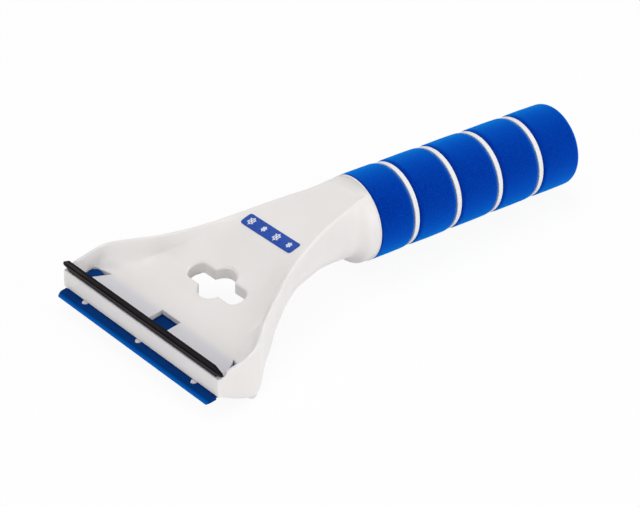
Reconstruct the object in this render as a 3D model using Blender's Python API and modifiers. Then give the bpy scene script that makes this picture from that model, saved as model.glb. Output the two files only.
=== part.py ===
"""Hand ice scraper: a white moulded head and neck, a blue blade, a rubber lip and a ringed foam grip.

Lengths are in metres. The head is built with its front face in the plane y = 0 and the lower edge of
that face at z = 0; +X is to the right along the blade and +Y runs back to the grip. A parent empty
then lays the whole tool down on its two feet and the far end of its grip.
"""
from math import asin, atan, atan2, cos, hypot, pi, sin, sqrt

import bmesh
import bpy
from mathutils import Matrix, Vector

# Head
head_half_width = 0.0560
head_length = 0.1040
rim_height = 0.0386
neck_depth = 0.0145
front_height = 0.0078
front_thickness = 0.0045
wall = 0.0022
rim_thickness = 0.0014
rib_thickness = 0.0018
gap = 0.0003
overrun = 0.0060

# Head outline: place as a share of head_length, then half width as a share of head_half_width
rim_width_shares = ((0, 1), (0.11, 0.998), (0.163, 0.988), (0.196, 0.963), (0.231, 0.913), (0.279, 0.828),
                    (0.363, 0.706), (0.456, 0.590), (0.536, 0.494), (0.625, 0.419), (0.731, 0.341),
                    (0.834, 0.280), (0.920, 0.236), (1, 0.200))
# How far the side swells beyond the rim, or draws in under it, as a share of neck_depth
bulge_shares = ((0, 0), (0.196, 0.038), (0.231, -0.007), (0.279, -0.081), (0.363, -0.162), (0.456, -0.170),
                (0.536, -0.100), (0.625, -0.046), (0.731, 0.055), (0.770, 0.069), (0.865, 0.124), (0.920, 0.207),
                (1, 0.331))
# Heights of the rim and of the lower edge, as shares of rim_height
rim_height_shares = ((0, 0.202), (0.022, 0.207), (0.043, 0.264), (0.109, 0.308), (0.196, 0.381), (0.279, 0.443),
                     (0.363, 0.508), (0.456, 0.595), (0.536, 0.678), (0.625, 0.754), (0.731, 0.832),
                     (0.834, 0.881), (0.920, 0.942), (1, 1.02))
lower_edge_shares = ((0, 0), (0.144, -0.130), (0.183, -0.135), (0.221, -0.104), (0.308, -0.036), (0.365, 0.013),
                     (0.471, 0.028), (0.567, 0.049), (0.615, 0.111), (0.688, 0.168), (0.769, 0.215), (0.865, 0.249),
                     (1, 0.254))
# Rounding of the lower corners: height as a share of neck_depth, width as a share of the half width
corner_height_shares = ((0, 0.07), (0.183, 0.07), (0.308, 0.21), (0.365, 0.34), (0.471, 0.55), (0.567, 0.90),
                        (0.615, 1.01), (0.688, 1.08), (0.769, 1.00), (0.865, 0.93), (1, 0.97))
corner_width_shares = ((0, 0.018), (0.183, 0.018), (0.308, 0.07), (0.365, 0.13), (0.471, 0.27), (0.567, 0.52),
                       (0.615, 0.65), (0.688, 0.77), (0.769, 0.91), (0.865, 1), (1, 1))
side_steps = 4
lower_steps = 7

# Tray behind the front face, then the dished deck, then the hollow ramp up to the collar's end
tray_length = 0.0162
tray_thickness = 0.00215
tray_slope = 0.2275
# The deck from the tray's end to the head's: place as a share of that way, height as a share of the climb
deck_height_shares = ((0, 0), (0.112, 0.107), (0.255, 0.259), (0.362, 0.391), (0.453, 0.544), (0.522, 0.655),
                      (0.567, 0.706), (0.681, 0.788), (0.803, 0.847), (0.906, 0.918), (1, 1.009))
ramp_place_share = 1.002
ramp_bend = 1.6
ramp_steps = 4
# The deck's crease: distance inside the rim as a share of head_half_width, rise as a share of the rim's
crease_inset_shares = ((0, 0.004), (0.125, 0.008), (0.200, 0.022), (0.231, 0.068), (0.258, 0.140), (0.279, 0.125),
                       (0.308, 0.091), (0.346, 0.066), (0.423, 0.062), (0.462, 0.054), (0.538, 0.032),
                       (0.615, 0.021), (0.800, 0.012), (1, 0.012))
crease_rise_shares = ((0, 0.02), (0.125, 0.04), (0.308, 0.05), (0.346, 0.08), (0.385, 0.29), (0.423, 0.47),
                      (0.462, 0.56), (0.538, 0.62), (0.615, 0.75), (0.800, 0.70), (1, 0.70))
# The dish from the middle to the crease: place and rise, as shares of the crease's
dish_shares = ((0, 0), (0.45, 0), (0.62, 0.08), (0.76, 0.28), (0.89, 0.62), (1, 1))
rim_end_share = 0.93
belly_start_share = 0.56
belly_full_share = 0.65
cavity_end_share = 0.985
cavity_lower_corner_share = 0.82

# Windows in the tray
middle_window_half_width = 0.0066
window_front = 0.0050
corner_window_inset = 0.0028
corner_window_front = 0.0048
corner_window_side_length = 0.0092
corner_window_width = 0.0098
corner_window_rear = 0.0160
window_overrun = 0.0020

# Hanging slot
slot_place = 0.0386
slot_half_length = 0.0179
slot_half_width = 0.0042
slot_lobe_radius = 0.0081
slot_depth = 0.0048
slot_wall = 0.0018
bar_end_steps = 8
lobe_steps = 8

# Feet under the rear corners of the skirt
foot_place = 0.0170
foot_radius = 0.0021
foot_width = 0.0026
foot_drop = 0.0016

# Blade, and the pegs that hold it
blade_half_width = 0.0548
blade_reach = 0.0044
blade_tail = 0.0220
blade_shoulder = 0.0110
blade_thickness = 0.0016
blade_edge = 0.0005
blade_bevel = 0.0019
blade_corner = 0.0030
peg_spacing = 0.0395
peg_set_back = 0.0002
peg_radius = 0.0018
peg_rise = 0.00045
peg_head_radius = 0.0027
peg_head_thickness = 0.0009
stop_drop = 0.0060
rib_drop = 0.0032

# Rubber lip in its groove
groove_front = 0.0009
groove_depth = 0.0034
lip_thickness = 0.0017
lip_lean = 0.32
lip_end_setback = 0.0023
lip_seat_rise = 0.0006
lip_overhang = 0.0032
lip_middle_rise = 0.0024
lip_height = 0.0050
lip_step = 0.0004
lip_tip = 0.00015

# Handle
collar_overlap = 0.0060
axis_height = 0.0235
axis_slope = 0.0490
collar_radius = 0.0191
collar_neck_radius = 0.0138
collar_flare = 0.0068
collar_length = 0.0111
collar_land = 0.0004
flare_steps = 5
tube_radius = 0.0125
tube_wall = 0.0025
foam_radius = 0.0196
foam_rounding = 0.0018
foam_seat_rounding = 0.0006
foam_end_rounding = 0.0034
first_ring_length = 0.0175
ring_length = 0.01995
ring_count = 5
stripe_length = 0.0023
stripe_inset = 0.0012
stripe_rounding = 0.0004
plug_flange = 0.0016
plug_chamfer = 0.0004
plug_depth = 0.0090
plug_wall = 0.0016
plug_recess = 0.0017

turn_steps = 32
corner_steps = 4
stripe_corner_steps = 2
circle_steps = 18
merge_distance = 0.00001

scraper = bpy.data.collections.new("ice_scraper")
cutters = bpy.data.collections.new("cutters")
rest_frame = bpy.data.objects.new("rest_frame", None)


def clear_scene():
    for item in list(bpy.data.objects):
        if item is not rest_frame:
            bpy.data.objects.remove(item, do_unlink=True)
    for group in (scraper, cutters):
        bpy.context.scene.collection.children.link(group)
    scraper.objects.link(rest_frame)


def material(name, colour, roughness):
    made = bpy.data.materials.new(name)
    made.use_nodes = True
    shader = made.node_tree.nodes["Principled BSDF"]
    shader.inputs["Base Color"].default_value = (*colour, 1)
    shader.inputs["Roughness"].default_value = roughness
    shader.inputs["Metallic"].default_value = 0
    return made


def new_object(name, mesh, finish=None):
    """An object of the scraper if it has a finish, else a hidden cutter."""
    item = bpy.data.objects.new(name, mesh)
    item.parent = rest_frame
    if finish:
        scraper.objects.link(item)
        mesh.materials.append(finish)
    else:
        cutters.objects.link(item)
        item.hide_render = True
        item.display_type = "WIRE"
    return item


def loft(name, rings, finish=None):
    """A closed skin through rings that have equal numbers of points, capped at both ends."""
    bm = bmesh.new()
    rows = [[bm.verts.new(point) for point in ring] for ring in rings]
    for row, following in zip(rows, rows[1:]):
        for i in range(len(row)):
            j = (i + 1) % len(row)
            bm.faces.new((row[i], row[j], following[j], following[i]))
    bmesh.ops.triangulate(bm, faces=bm.faces)
    bm.faces.new(list(reversed(rows[0])))
    bm.faces.new(rows[-1])
    bmesh.ops.recalc_face_normals(bm, faces=bm.faces)
    mesh = bpy.data.meshes.new(name)
    bm.to_mesh(mesh)
    bm.free()
    return new_object(name, mesh, finish)


def prism(name, outline, low, high, finish=None):
    """An upright solid on an outline of (x, y), between two heights that follow y."""
    rings = [[Vector((x, y, height(y))) for x, y in outline] for height in (low, high)]
    return loft(name, rings, finish)


def arc(centre_x, centre_y, radius, start, end, steps=corner_steps):
    turn = (end - start) / steps
    return [(centre_x + radius * cos(start + turn * i), centre_y + radius * sin(start + turn * i))
            for i in range(steps + 1)]


def grip_start():
    return head_length - collar_overlap


def grip_matrix(along):
    """Place on the grip's axis, with local Z along it towards the far end."""
    lean = atan(axis_slope)
    start = Vector((0, grip_start(), axis_height))
    direction = Vector((0, cos(lean), sin(lean)))
    return Matrix.Translation(start + direction * along) @ Matrix.Rotation(lean - pi / 2, 4, "X")


def turned(name, profile, finish=None):
    """A body about the grip's axis from a profile of (radius, distance along it), closed unless it ends on the axis."""
    bm = bmesh.new()
    corners = [bm.verts.new((radius, 0, along)) for radius, along in profile]
    for i in range(0 if profile[0][0] else 1, len(corners)):
        bm.edges.new((corners[i - 1], corners[i]))
    mesh = bpy.data.meshes.new(name)
    bm.to_mesh(mesh)
    bm.free()
    item = new_object(name, mesh, finish)
    item.matrix_local = grip_matrix(0)
    screw = item.modifiers.new("turn", "SCREW")
    screw.steps = turn_steps
    screw.render_steps = turn_steps
    screw.use_merge_vertices = True
    screw.merge_threshold = merge_distance
    return item


def combine(item, operation, others):
    for other in others:
        cut = item.modifiers.new(other.name, "BOOLEAN")
        cut.operation = operation
        cut.solver = "EXACT"
        cut.object = other


def curve_value(points, place):
    """Height of the smooth curve through points (place, height) that never swings past them."""
    steps = [after[0] - before[0] for before, after in zip(points, points[1:])]
    grades = [(after[1] - before[1]) / step for before, after, step in zip(points, points[1:], steps)]
    tangents = [grades[0]]
    for before, after in zip(grades, grades[1:]):
        tangents.append(2 * before * after / (before + after) if before * after > 0 else 0)
    tangents.append(grades[-1])
    i = sum(place > point[0] for point in points[1:-1])
    t = (place - points[i][0]) / steps[i]
    rise = (points[i + 1][1] - points[i][1]) * t * t * (3 - 2 * t)
    bend = steps[i] * (t * (1 - t) ** 2 * tangents[i] - t * t * (1 - t) * tangents[i + 1])
    return points[i][1] + rise + bend


def head_share(y):
    return min(max(y / head_length, 0), 1)


def rim_half_width(y):
    return head_half_width * curve_value(rim_width_shares, head_share(y))


def side_half_width(y):
    return rim_half_width(y) + neck_depth * curve_value(bulge_shares, head_share(y))


def rim_top(y):
    return rim_height * curve_value(rim_height_shares, head_share(y))


def lower_edge(y):
    return rim_height * curve_value(lower_edge_shares, head_share(y))


def floor_height(y):
    """Top of the tray, then of the deck, which stays just under the rim."""
    tray = tray_thickness + tray_slope * min(y, tray_length)
    if y < tray_length:
        return tray
    along = min((y - tray_length) / (head_length - tray_length), 1)
    return min(tray + (rim_height - tray) * curve_value(deck_height_shares, along), rim_top(y) - gap)


def ceiling_height(y):
    return floor_height(y) - tray_thickness


def floor_profile(y):
    """Half of the floor across the head: the dish out to the crease, then the flange up to the rim's edge."""
    floor = floor_height(y)
    rise = rim_top(y) - floor
    rim = rim_half_width(y) - rim_thickness
    crease = rim - head_half_width * curve_value(crease_inset_shares, head_share(y))
    crease_rise = rise * curve_value(crease_rise_shares, head_share(y))
    dish = [(crease * place, floor + crease_rise * up) for place, up in dish_shares]
    return dish + [(rim, floor + rise)]


def profile_height(profile, x):
    for (near, low), (far, high) in zip(profile, profile[1:]):
        if x <= far:
            return low + (high - low) * (x - near) / (far - near)
    return profile[-1][1]


def both_halves(half):
    return half + [(-x, z) for x, z in reversed(half) if x]


def ring_at(y, half):
    return [Vector((x, y, z)) for x, z in both_halves(half)]


def stations(start_share, end_share):
    """Places along the head: the named ones of its outline, one between each two, and both ends."""
    named = [share for share, _ in rim_width_shares]
    between = [(before + after) / 2 for before, after in zip(named, named[1:])]
    margin = gap / head_length
    inner = [share for share in sorted(named + between) if start_share + margin < share < end_share - margin]
    return [share * head_length for share in [start_share] + inner + [end_share]]


def lower_corner(half, low, height, width):
    """Quarter of an ellipse from the side down to the flat underneath."""
    turn = pi / 2 / lower_steps
    return [(half - width + width * cos(turn * i), low + height * (1 - sin(turn * i)))
            for i in range(lower_steps + 1)]


def corner_size(y, half, room):
    height = neck_depth * curve_value(corner_height_shares, head_share(y))
    width = half * curve_value(corner_width_shares, head_share(y))
    return min(height, room), min(width, half - gap)


def waist_height(y):
    """Where the side turns from its upper slope to its lower corner."""
    low = lower_edge(y)
    return low + corner_size(y, side_half_width(y), rim_top(y) - low - wall)[0]


def side_at(y, z):
    """Half width of the outside at a height between the waist and the rim."""
    half = side_half_width(y)
    waist = waist_height(y)
    up = min(max((z - waist) / (rim_top(y) - waist), 0), 1)
    return sqrt(half ** 2 - (half ** 2 - rim_half_width(y) ** 2) * up ** 2)


def outer_section(y):
    half = side_half_width(y)
    top = rim_top(y)
    low = lower_edge(y)
    height, width = corner_size(y, half, top - low - wall)
    heights = [top + (low + height - top) * i / side_steps for i in range(side_steps)]
    side = [(side_at(y, z), z) for z in heights]
    return ring_at(y, [(0, top)] + side + lower_corner(half, low, height, width) + [(0, low)])


def cavity_section(y):
    """The hollow under the floor: open below at the head, closed by the belly at the neck."""
    half = side_half_width(y) - wall
    profile = [(x, z - tray_thickness) for x, z in floor_profile(y)]
    edge = side_at(y, profile_height(profile, half - wall)) - wall
    edge_height = profile_height(profile, edge - wall)
    top = [(x, z) for x, z in profile[:-2]]
    crease = min(profile[-2][0], edge - wall)
    top[-1] = (min(top[-1][0], crease - gap), top[-1][1])
    top += [(crease, profile_height(profile, crease)), (edge, edge_height)]
    closed = (head_share(y) - belly_start_share) / (belly_full_share - belly_start_share)
    closed = min(max(closed, 0), 1)
    low = lower_edge(y) + wall * closed - overrun * (1 - closed)
    height, width = corner_size(y, half, (edge_height - low) * cavity_lower_corner_share)
    height = max(height - wall * closed, wall / 2)
    middle = (edge_height + low + height) / 2
    side = [(side_at(y, middle) - wall, middle)]
    return ring_at(y, top + side + lower_corner(half, low, height, width) + [(0, low)])


def deck_section(y):
    """What is cut away above the floor, between the rims."""
    profile = floor_profile(y)
    top = rim_top(y) + collar_radius
    return ring_at(y, profile + [(profile[-1][0], top), (0, top)])


def ramp_section(along):
    """What is cut away above the ramp, at a share of the way from the deck's end to the collar's."""
    start = ramp_place_share * head_length
    end = grip_start() + collar_length - collar_land
    deck = floor_height(start)
    centre = axis_height + axis_slope * (end - grip_start())
    surface = []
    for i in range(len(dish_shares) + 1):
        x = collar_radius * i / len(dish_shares)
        collar = centre + gap + sqrt(collar_radius ** 2 - x ** 2)
        surface.append((x, deck + (collar - deck) * along ** ramp_bend))
    top = deck + collar_radius
    return ring_at(start + (end - start) * along, surface + [(collar_radius, top), (0, top)])


def deck_cutter():
    places = stations(front_thickness / head_length, rim_end_share)
    rings = [deck_section(y) for y in places] + [ramp_section(i / ramp_steps) for i in range(ramp_steps + 1)]
    return loft("deck_cutter", rings)


def front_top_cutter():
    side = head_half_width - rim_thickness
    outline = [(-side, -overrun), (side, -overrun), (side, front_thickness + gap), (-side, front_thickness + gap)]
    return prism("front_top_cutter", outline, lambda y: front_height, lambda y: front_height + overrun)


def cavity_cutter():
    first = cavity_section(0)
    ahead = [Vector((point.x, -overrun, point.z - tray_slope * overrun)) for point in first]
    return loft("cavity_cutter", [ahead] + [cavity_section(y) for y in stations(0, cavity_end_share)])


def window_cutters():
    side = middle_window_half_width
    middle = [(-side, window_front), (side, window_front), (side, tray_length), (-side, tray_length)]
    outer = head_half_width - corner_window_inset
    corner = [(outer, corner_window_front), (outer, corner_window_front + corner_window_side_length),
              (outer - corner_window_width, corner_window_rear)]
    made = []
    for name, outline in (("middle", middle), ("right", corner), ("left", [(-x, y) for x, y in corner])):
        made.append(prism(name + "_window_cutter", outline, lambda y: ceiling_height(y) - window_overrun,
                          lambda y: floor_height(y) + window_overrun))
    return made


def slot_outline(margin):
    """A bar with round ends and a round lobe at its middle, grown by a margin."""
    radius = slot_half_width + margin
    lobe = slot_lobe_radius + margin
    reach = slot_half_length - slot_half_width
    meet = asin(radius / lobe)
    outline = arc(reach, slot_place, radius, -pi / 2, pi / 2, bar_end_steps)
    outline += arc(0, slot_place, lobe, meet, pi - meet, lobe_steps)
    outline += arc(-reach, slot_place, radius, pi / 2, 3 * pi / 2, bar_end_steps)
    return outline + arc(0, slot_place, lobe, pi + meet, 2 * pi - meet, lobe_steps)


def slot_plane(y):
    """The flat plane that the deck keeps closest to around the slot."""
    near, far = slot_place - slot_lobe_radius, slot_place + slot_lobe_radius
    slope = (floor_height(far) - floor_height(near)) / (far - near)
    return floor_height(slot_place) + slope * (y - slot_place)


def slot_boss():
    return prism("slot_boss", slot_outline(slot_wall), lambda y: slot_plane(y) - slot_depth,
                 lambda y: slot_plane(y) + wall)


def slot_cutter():
    return prism("slot_cutter", slot_outline(0), lambda y: slot_plane(y) - slot_depth - overrun,
                 lambda y: slot_plane(y) + overrun)


def blade_top(y):
    return tray_slope * y - gap


def ribs():
    """A stop across the head behind the blade, and two ribs along it from the stop past the slot."""
    front = blade_tail + gap
    back = front + rib_thickness
    side = rim_half_width(back) - wall / 2
    across = [(-side, front), (side, front), (side, back), (-side, back)]
    made = [prism("blade_stop", across, lambda y: ceiling_height(y) - stop_drop, lambda y: rim_top(y) - wall)]
    end = belly_full_share * head_length
    for middle, name in ((-slot_half_length, "left_rib"), (slot_half_length, "right_rib")):
        near, far = middle - rib_thickness / 2, middle + rib_thickness / 2
        along = [(near, front + gap), (far, front + gap), (far, end), (near, end)]
        made.append(prism(name, along, lambda y: ceiling_height(y) - rib_drop, lambda y: floor_height(y) + wall))
    return made


def peg_places():
    return [(number * peg_spacing, peg_set_back) for number in (-1, 0, 1)]


def circle(centre, radius):
    """Corners of a circle, starting half a step round so that none lies level with its middle."""
    start = pi / circle_steps
    return arc(centre[0], centre[1], radius, start, start + 2 * pi - 2 * start, circle_steps - 1)


def pegs():
    """Pegs through the blade, each with a flattened head under it."""
    made = []
    for number, place in enumerate(peg_places(), 1):
        made.append(prism(f"peg_{number}", circle(place, peg_radius),
                          lambda y: blade_top(y) - blade_thickness - gap - peg_head_thickness / 2,
                          lambda y: blade_top(y) + peg_rise))
        made.append(prism(f"peg_head_{number}", circle(place, peg_head_radius),
                          lambda y: blade_top(y) - blade_thickness - gap - peg_head_thickness,
                          lambda y: blade_top(y) - blade_thickness - gap))
    return made


def feet():
    made = []
    for side, name in ((-1, "left_foot"), (1, "right_foot")):
        outer = side * (side_half_width(foot_place + foot_radius) - 2 * gap)
        inner = outer - side * foot_width
        centre_z = lower_edge(foot_place) - foot_drop + foot_radius
        ring = circle((foot_place, centre_z), foot_radius)
        made.append(loft(name, [[Vector((x, y, z)) for y, z in ring] for x in (inner, outer)]))
    return made


def lip_y(z):
    """Front of the rubber lip at a height: it leans forward as it rises."""
    return groove_front - lip_lean * (z - front_height)


def lip_half_length():
    return head_half_width - lip_end_setback


def groove_cutter():
    low = front_height - groove_depth
    high = front_height + overrun
    half = lip_half_length() + gap
    section = [(lip_y(low) - gap, low), (lip_y(high) - gap, high), (lip_y(high) + lip_thickness + gap, high),
               (lip_y(low) + lip_thickness + gap, low)]
    return loft("groove_cutter", [[Vector((x, y, z)) for y, z in section] for x in (-half, half)])


def collar_and_tube():
    profile = [(0, tube_end()), (tube_radius, tube_end()), (tube_radius, collar_length), (collar_radius, collar_length)]
    for i in range(flare_steps, -1, -1):
        share = i / flare_steps
        widening = (collar_radius - collar_neck_radius) * (1 - cos(pi * share)) / 2
        profile.append((collar_neck_radius + widening, collar_flare * share))
    return turned("collar_and_tube", profile + [(0, 0)])


def bore_cutter():
    """Opens the tube from its far end into the hollow of the neck."""
    bore = tube_radius - tube_wall
    mesh = bpy.data.meshes.new("bore_cutter")
    bm = bmesh.new()
    length = tube_end() + 2 * overrun
    bmesh.ops.create_cone(bm, cap_ends=True, segments=turn_steps, radius1=bore, radius2=bore, depth=length)
    bm.to_mesh(mesh)
    bm.free()
    item = new_object("bore_cutter", mesh)
    item.matrix_local = grip_matrix(length / 2 - overrun)
    return item


def scraper_body(finish):
    body = loft("scraper_body", [outer_section(y) for y in stations(0, 1)], finish)
    combine(body, "UNION", [collar_and_tube()])
    combine(body, "DIFFERENCE", [cavity_cutter()])
    combine(body, "UNION", [slot_boss()] + ribs() + feet() + pegs())
    combine(body, "DIFFERENCE", [deck_cutter(), front_top_cutter(), slot_cutter(), groove_cutter()] + window_cutters())
    combine(body, "DIFFERENCE", [bore_cutter()])


def blade_outline(inset):
    """Front and sides of the blade; inset draws in its front edge and front corners."""
    centre_x = blade_half_width - blade_corner
    centre_y = -blade_reach + blade_corner
    right = arc(centre_x, centre_y, blade_corner - inset, -pi / 2, 0)
    ear = [(blade_half_width - inset, -gap)]
    neck = head_half_width - wall - gap
    tail = [(neck, -gap), (neck, blade_shoulder), (tail_half_width(), blade_tail)]
    half = right + ear + tail
    return half + [(-x, y) for x, y in reversed(half)]


def tail_half_width():
    return rim_half_width(blade_tail) - wall - 2 * gap


def scraper_blade(finish):
    heights = ((0, 0), (blade_edge, 0), (blade_thickness, blade_bevel))
    rings = []
    for height, inset in heights:
        rings.append([Vector((x, y, blade_top(y) - blade_thickness + height)) for x, y in blade_outline(inset)])
    blade = loft("scraper_blade", rings, finish)
    holes = [prism(f"peg_hole_{number}", circle(place, peg_radius + gap), lambda y: blade_top(y) - overrun,
                   lambda y: blade_top(y) + overrun) for number, place in enumerate(peg_places(), 1)]
    combine(blade, "DIFFERENCE", holes)


def squeegee_rubber(finish):
    """A strip seated in the groove whose free edge overhangs the head and narrows again to its top."""
    low = front_height - groove_depth + gap
    seat = front_height + lip_seat_rise
    middle = front_height + lip_middle_rise
    top = front_height + lip_height

    def section(bottom, centre, upper):
        front = [(lip_y(bottom), bottom), (lip_y(centre), centre), (lip_y(centre + lip_tip) + lip_step, centre + lip_tip)]
        return front + [(lip_y(upper) + lip_step, upper), (lip_y(upper) + lip_thickness, upper),
                        (lip_y(bottom) + lip_thickness, bottom)]

    half = lip_half_length()
    ends = ((half + lip_overhang, section(middle - lip_tip, middle, middle + 2 * lip_tip)),
            (half, section(seat, middle, top)), (half - lip_tip, section(low, middle, top)))
    rings = [[Vector((-x, y, z)) for y, z in shape] for x, shape in ends]
    rings += [[Vector((x, y, z)) for y, z in shape] for x, shape in reversed(ends)]
    loft("squeegee_rubber", rings, finish)


def ring_profile(start, length, radius, near_rounding, far_rounding, steps=corner_steps):
    """Closed profile of a sleeve on the tube, from its far outer corner down to its near one."""
    inner = tube_radius + gap
    far = start + length
    outside = arc(radius - far_rounding, far - far_rounding, far_rounding, pi / 2, 0, steps)
    outside += arc(radius - near_rounding, start + near_rounding, near_rounding, 0, -pi / 2, steps)
    return outside + [(inner, start), (inner, far)]


def ring_places():
    """Start and length of each foam ring, with a stripe in each space between them."""
    places = []
    start = collar_length + gap
    for number in range(ring_count):
        length = ring_length if number else first_ring_length
        places.append((start, length))
        start += length + stripe_length + 2 * gap
    return places


def tube_end():
    start, length = ring_places()[-1]
    return start + length - plug_recess - plug_flange


def foam_grip(foam_finish, stripe_finish):
    places = ring_places()
    for number, (start, length) in enumerate(places, 1):
        last = number == ring_count
        near = foam_rounding if number > 1 else foam_seat_rounding
        far = foam_end_rounding if last else foam_rounding
        turned(f"grip_ring_{number}", ring_profile(start, length, foam_radius, near, far), foam_finish)
        if not last:
            profile = ring_profile(start + length + gap, stripe_length, foam_radius - stripe_inset,
                                   stripe_rounding, stripe_rounding, stripe_corner_steps)
            turned(f"grip_stripe_{number}", profile, stripe_finish)


def handle_end_plug(finish):
    """A cup whose flange covers the tube's end and whose skirt goes into its bore."""
    near = tube_end() + gap
    far = near + plug_flange
    skirt = tube_radius - tube_wall - gap
    start = near - plug_depth
    profile = [(0, far), (tube_radius - plug_chamfer, far), (tube_radius, far - plug_chamfer), (tube_radius, near),
               (skirt, near), (skirt, start), (skirt - plug_wall, start), (skirt - plug_wall, near), (0, near)]
    turned("handle_end_plug", profile, finish)


def lay_down():
    """Tips the tool so that its feet and the far end of its grip touch z = 0, centred on the origin."""
    foot_y = foot_place
    foot_z = lower_edge(foot_place) - foot_drop + foot_radius
    start, length = ring_places()[-1]
    grip_end = grip_matrix(start + length - foam_end_rounding)
    below = grip_end @ Vector((0, foam_radius - foam_end_rounding, 0))
    span = hypot(below.y - foot_y, below.z - foot_z)
    pitch = atan2(below.z - foot_z, below.y - foot_y) + asin((foot_radius - foam_end_rounding) / span)
    rest_frame.rotation_euler.x = -pitch
    bpy.context.view_layer.update()
    depsgraph = bpy.context.evaluated_depsgraph_get()
    points = []
    for item in scraper.objects:
        if item.type == "MESH":
            solid = item.evaluated_get(depsgraph)
            points += [solid.matrix_world @ vertex.co for vertex in solid.data.vertices]
    low = Vector([min(point[i] for point in points) for i in range(3)])
    high = Vector([max(point[i] for point in points) for i in range(3)])
    rest_frame.location = (-(low.x + high.x) / 2, -(low.y + high.y) / 2, -low.z)


clear_scene()
scraper_body(material("white_plastic", (0.80, 0.78, 0.76), 0.35))
scraper_blade(material("blue_plastic", (0.0, 0.05, 0.30), 0.25))
squeegee_rubber(material("black_rubber", (0.01, 0.01, 0.012), 0.6))
foam_grip(material("blue_foam", (0.0, 0.07, 0.50), 0.9), material("white_foam", (0.80, 0.82, 0.84), 0.85))
handle_end_plug(material("white_plug", (0.78, 0.77, 0.75), 0.4))
lay_down()
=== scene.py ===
from math import acos, asin, atan, cos, hypot, pi, radians, sin, sqrt

import bmesh
import bpy
from mathutils import Matrix, Vector, noise


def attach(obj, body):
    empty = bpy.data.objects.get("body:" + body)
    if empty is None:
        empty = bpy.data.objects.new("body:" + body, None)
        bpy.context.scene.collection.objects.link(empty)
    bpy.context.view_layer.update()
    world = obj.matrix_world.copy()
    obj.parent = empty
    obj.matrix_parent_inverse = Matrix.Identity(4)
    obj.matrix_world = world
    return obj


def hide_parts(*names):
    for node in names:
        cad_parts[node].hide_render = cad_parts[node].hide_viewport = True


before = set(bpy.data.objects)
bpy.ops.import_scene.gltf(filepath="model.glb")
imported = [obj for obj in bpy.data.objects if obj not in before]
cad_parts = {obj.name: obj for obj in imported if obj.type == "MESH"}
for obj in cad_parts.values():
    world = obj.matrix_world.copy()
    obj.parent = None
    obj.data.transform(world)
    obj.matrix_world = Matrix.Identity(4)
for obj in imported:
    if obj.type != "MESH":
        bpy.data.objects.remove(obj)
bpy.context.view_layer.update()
print("frame loaded, with", len(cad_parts), "solids")

mm = 0.001
close = 0.01 * mm  # how near a point must be to count as there
square = 0.9  # how squarely a chosen face must look along its axis
lieDown = {"pitch": -0.0823745, "back": -107.876 * mm, "up": 8.138 * mm}
toFloor = Matrix.Translation((0, lieDown["back"], lieDown["up"])) @ Matrix.Rotation(lieDown["pitch"], 4, "X")


# small helpers

def leaveEdit():
    bpy.ops.object.mode_set(mode="OBJECT")


def pick(piece):
    if bpy.context.object and bpy.context.object.mode != "OBJECT":
        leaveEdit()
    bpy.ops.object.select_all(action="DESELECT")
    piece.select_set(True)
    bpy.context.view_layer.objects.active = piece
    return piece


def justAdded(name, size=(1, 1, 1)):
    # names the new primitive, and puts its place and size into its mesh
    piece = bpy.context.object
    piece.name = piece.data.name = name
    pick(piece)
    piece.scale = size
    bpy.ops.object.transform_apply(location=True, rotation=True, scale=True)
    return piece


def block(name, low, high):
    bpy.ops.mesh.primitive_cube_add(size=1, location=[(a + b) / 2 for a, b in zip(low, high)])
    return justAdded(name, [b - a for a, b in zip(low, high)])


def selectInEdit(kind, test):
    # kind is EDGE or FACE; test looks at the element and says whether it is wanted
    bpy.ops.object.mode_set(mode="EDIT")
    bpy.ops.mesh.select_mode(type=kind)
    bpy.ops.mesh.select_all(action="DESELECT")
    bm = bmesh.from_edit_mesh(bpy.context.object.data)
    for element in {"EDGE": bm.edges, "FACE": bm.faces}[kind]:
        if test(element):
            element.select_set(True)
    bm.select_flush_mode()
    bmesh.update_edit_mesh(bpy.context.object.data)


def edgeTest(wanted):
    # picks the edges with both ends where they are wanted
    return lambda edge: all(wanted(vertex.co) for vertex in edge.verts)


def isCap(face):
    return len(face.verts) > 4


def extrudeBy(*way):
    bpy.ops.mesh.extrude_region_move(TRANSFORM_OT_translate={"value": way})


def splitAll(place, normal):
    bpy.ops.mesh.select_all(action="SELECT")
    bpy.ops.mesh.bisect(plane_co=place, plane_no=normal)


def modify(piece, kind, **values):
    pick(piece)
    made = piece.modifiers.new(kind.lower(), kind)
    for key, value in values.items():
        setattr(made, key, value)
    bpy.ops.object.modifier_apply(modifier=made.name)


def roundEdges(piece, width, steps, angle):
    modify(piece, "BEVEL", width=width, segments=steps, limit_method="ANGLE", angle_limit=radians(angle))


def recalculate(piece, merge=close / 2):
    pick(piece)
    bpy.ops.object.mode_set(mode="EDIT")
    bpy.ops.mesh.select_all(action="SELECT")
    bpy.ops.mesh.remove_doubles(threshold=merge)
    bpy.ops.mesh.normals_make_consistent(inside=False)
    leaveEdit()


def linked(name, data):
    made = bpy.data.objects.new(name, data)
    bpy.context.scene.collection.objects.link(made)
    return made


def loftPiece(name, rings):
    # skin through rings of equal counts, with both ends closed
    count = len(rings[0])
    last = (len(rings) - 1) * count
    faces = [(start + i, start + (i + 1) % count, start + count + (i + 1) % count, start + count + i)
             for start in range(0, last, count) for i in range(count)]
    faces += [tuple(range(count)), tuple(range(last, last + count))]
    mesh = bpy.data.meshes.new(name)
    mesh.from_pydata([point for ring in rings for point in ring], [], faces)
    piece = linked(name, mesh)
    recalculate(piece)
    return piece


def joined(name, pieces):
    pick(pieces[0])
    for piece in pieces:
        piece.select_set(True)
    bpy.ops.object.join()
    pieces[0].name = name
    return pick(pieces[0])


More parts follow.
